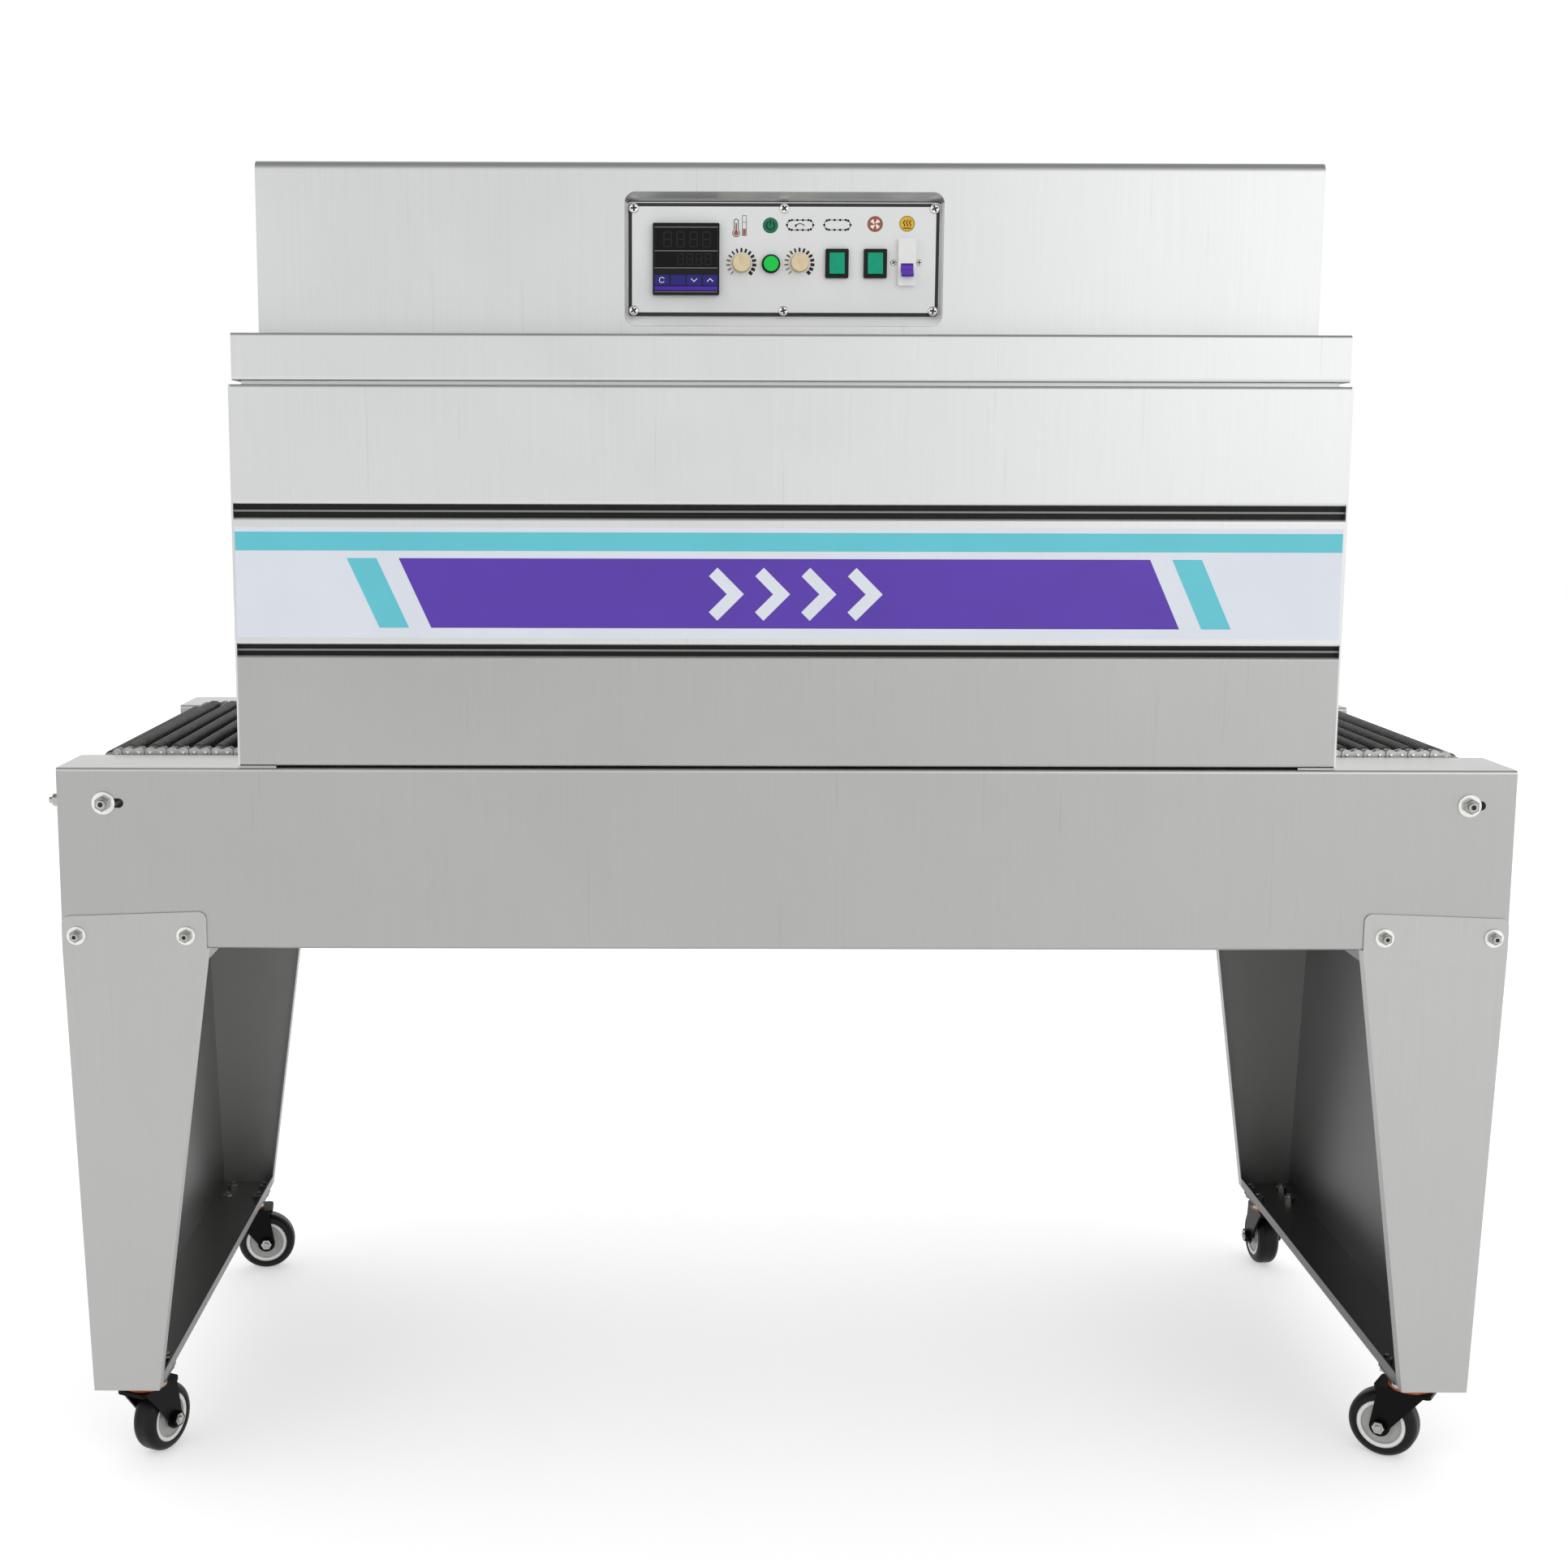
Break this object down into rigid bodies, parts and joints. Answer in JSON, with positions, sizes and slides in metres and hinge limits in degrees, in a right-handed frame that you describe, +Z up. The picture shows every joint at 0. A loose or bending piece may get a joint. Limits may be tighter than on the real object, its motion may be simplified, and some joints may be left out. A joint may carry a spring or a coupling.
{
  "type": "heat shrink tunnel",
  "caption": "Free-standing heat shrink tunnel: roller-chain conveyor through a brushed stainless hood with a control box on top, on folded legs with swivel casters.",
  "frame": {"origin": "on the floor under the middle of the part's outer box", "axes": "+X from infeed to outfeed along the conveyor, +Y to the back, away from the control panel, +Z up"},
  "size_m": [1.614, 0.75, 1.477],
  "materials": {
    "stainless": "brushed stainless sheet",
    "panel_film": "brushed stainless with a printed band",
    "box_stainless": "pale brushed stainless sheet",
    "dark_steel": "dark grey",
    "bare_steel": "plain machined steel",
    "zinc": "zinc plated",
    "chain_steel": "bright chain steel",
    "sleeve": "dark ribbed heat-proof sleeve",
    "black_plastic": "black moulded plastic",
    "panel_plate": "pale grey plate",
    "gasket": "black gasket",
    "cream_plastic": "cream plastic",
    "green_button": "green lens",
    "green_rocker": "green lens",
    "white_plastic": "white moulded plastic",
    "violet_plastic": "violet plastic",
    "orange_ring": "orange dust ring",
    "fork_black": "black pressed steel",
    "hub_grey": "pale grey wheel centre",
    "tyre_black": "black tread"
  },
  "bodies": {
    "machine": {"front_rail": "stainless", "rear_rail": "stainless", "deck_cross_members": "dark_steel", "chain_guides": "dark_steel", "infeed_shaft": "bare_steel", "outfeed_shaft": "bare_steel", "shaft_fixings": "zinc", "tension_screws": "zinc", "front_chain": "chain_steel", "rear_chain": "chain_steel", "carrying_rollers": "sleeve", "return_rollers": "sleeve", "lower_hood_panels": "stainless", "middle_hood_panels": "panel_film", "upper_hood_panels": "stainless", "joint_strips": "dark_steel", "hood_end_plates": "stainless", "chamber_liner": "stainless", "hood_feet": "stainless", "top_cover": "box_stainless", "control_box": "box_stainless", "panel_gasket": "gasket", "control_panel": "panel_plate", "temperature_controller": "black_plastic", "switch_frames": "black_plastic", "breaker_body": "white_plastic", "left_leg_web": "stainless", "right_leg_web": "stainless", "left_leg_plates": "stainless", "right_leg_plates": "stainless", "leg_bolts": "zinc", "caster_plates": "zinc", "dust_rings": "orange_ring"},
    "front_left_caster": {"front_left_fork": "fork_black"},
    "front_left_wheel": {"front_left_hub": "hub_grey", "front_left_tyre": "tyre_black"},
    "front_right_caster": {"front_right_fork": "fork_black"},
    "front_right_wheel": {"front_right_hub": "hub_grey", "front_right_tyre": "tyre_black"},
    "rear_left_caster": {"rear_left_fork": "fork_black"},
    "rear_left_wheel": {"rear_left_hub": "hub_grey", "rear_left_tyre": "tyre_black"},
    "rear_right_caster": {"rear_right_fork": "fork_black"},
    "rear_right_wheel": {"rear_right_hub": "hub_grey", "rear_right_tyre": "tyre_black"},
    "speed_knob": {"left_knob": "cream_plastic"},
    "fan_knob": {"right_knob": "cream_plastic"},
    "conveyor_rocker": {"left_rocker": "green_rocker"},
    "blower_rocker": {"right_rocker": "green_rocker"},
    "breaker_handle": {"breaker_lever": "violet_plastic"},
    "start_button": {"push_button": "green_button"}
  },
  "joints": [
    {"name": "front_left_swivel", "type": "hinge", "parent": "machine", "child": "front_left_caster", "pos_m": [-0.733, -0.305, 0.087], "axis": [0, 0, 1], "continuous": true},
    {"name": "front_left_roll", "type": "hinge", "parent": "front_left_caster", "child": "front_left_wheel", "pos_m": [-0.72117, -0.27962, 0.04], "axis": [-0.9063, 0.4226, 0], "continuous": true},
    {"name": "front_right_swivel", "type": "hinge", "parent": "machine", "child": "front_right_caster", "pos_m": [0.747, -0.305, 0.087], "axis": [0, 0, 1], "continuous": true},
    {"name": "front_right_roll", "type": "hinge", "parent": "front_right_caster", "child": "front_right_wheel", "pos_m": [0.72379, -0.28934, 0.04], "axis": [-0.5592, -0.829, 0], "continuous": true},
    {"name": "rear_left_swivel", "type": "hinge", "parent": "machine", "child": "rear_left_caster", "pos_m": [-0.733, 0.305, 0.087], "axis": [0, 0, 1], "continuous": true},
    {"name": "rear_left_roll", "type": "hinge", "parent": "rear_left_caster", "child": "rear_left_wheel", "pos_m": [-0.70527, 0.3089, 0.04], "axis": [-0.1392, 0.9903, 0], "continuous": true},
    {"name": "rear_right_swivel", "type": "hinge", "parent": "machine", "child": "rear_right_caster", "pos_m": [0.747, 0.305, 0.087], "axis": [0, 0, 1], "continuous": true},
    {"name": "rear_right_roll", "type": "hinge", "parent": "rear_right_caster", "child": "rear_right_wheel", "pos_m": [0.74553, 0.33296, 0.04], "axis": [-0.9986, -0.0523, 0], "continuous": true},
    {"name": "left_knob_turn", "type": "hinge", "parent": "machine", "child": "speed_knob", "pos_m": [-0.045, -0.2975, 1.37], "axis": [0, -1, 0], "range_deg": [-135, 135]},
    {"name": "right_knob_turn", "type": "hinge", "parent": "machine", "child": "fan_knob", "pos_m": [0.018, -0.2975, 1.3705], "axis": [0, -1, 0], "range_deg": [-135, 135]},
    {"name": "left_rocker_tilt", "type": "hinge", "parent": "machine", "child": "conveyor_rocker", "pos_m": [0.0585, -0.3009, 1.37], "axis": [1, 0, 0], "range_deg": [0, 16]},
    {"name": "right_rocker_tilt", "type": "hinge", "parent": "machine", "child": "blower_rocker", "pos_m": [0.1, -0.3009, 1.37], "axis": [1, 0, 0], "range_deg": [0, 16]},
    {"name": "breaker_lever_swing", "type": "hinge", "parent": "machine", "child": "breaker_handle", "pos_m": [0.134, -0.303, 1.365], "axis": [-1, 0, 0], "range_deg": [0, 80]},
    {"name": "push_button_press", "type": "slide", "parent": "machine", "child": "start_button", "axis": [0, 1, 0], "range_m": [0, 0.003], "stiffness_N_per_m": 400, "springref_m": -0.001}
  ]
}
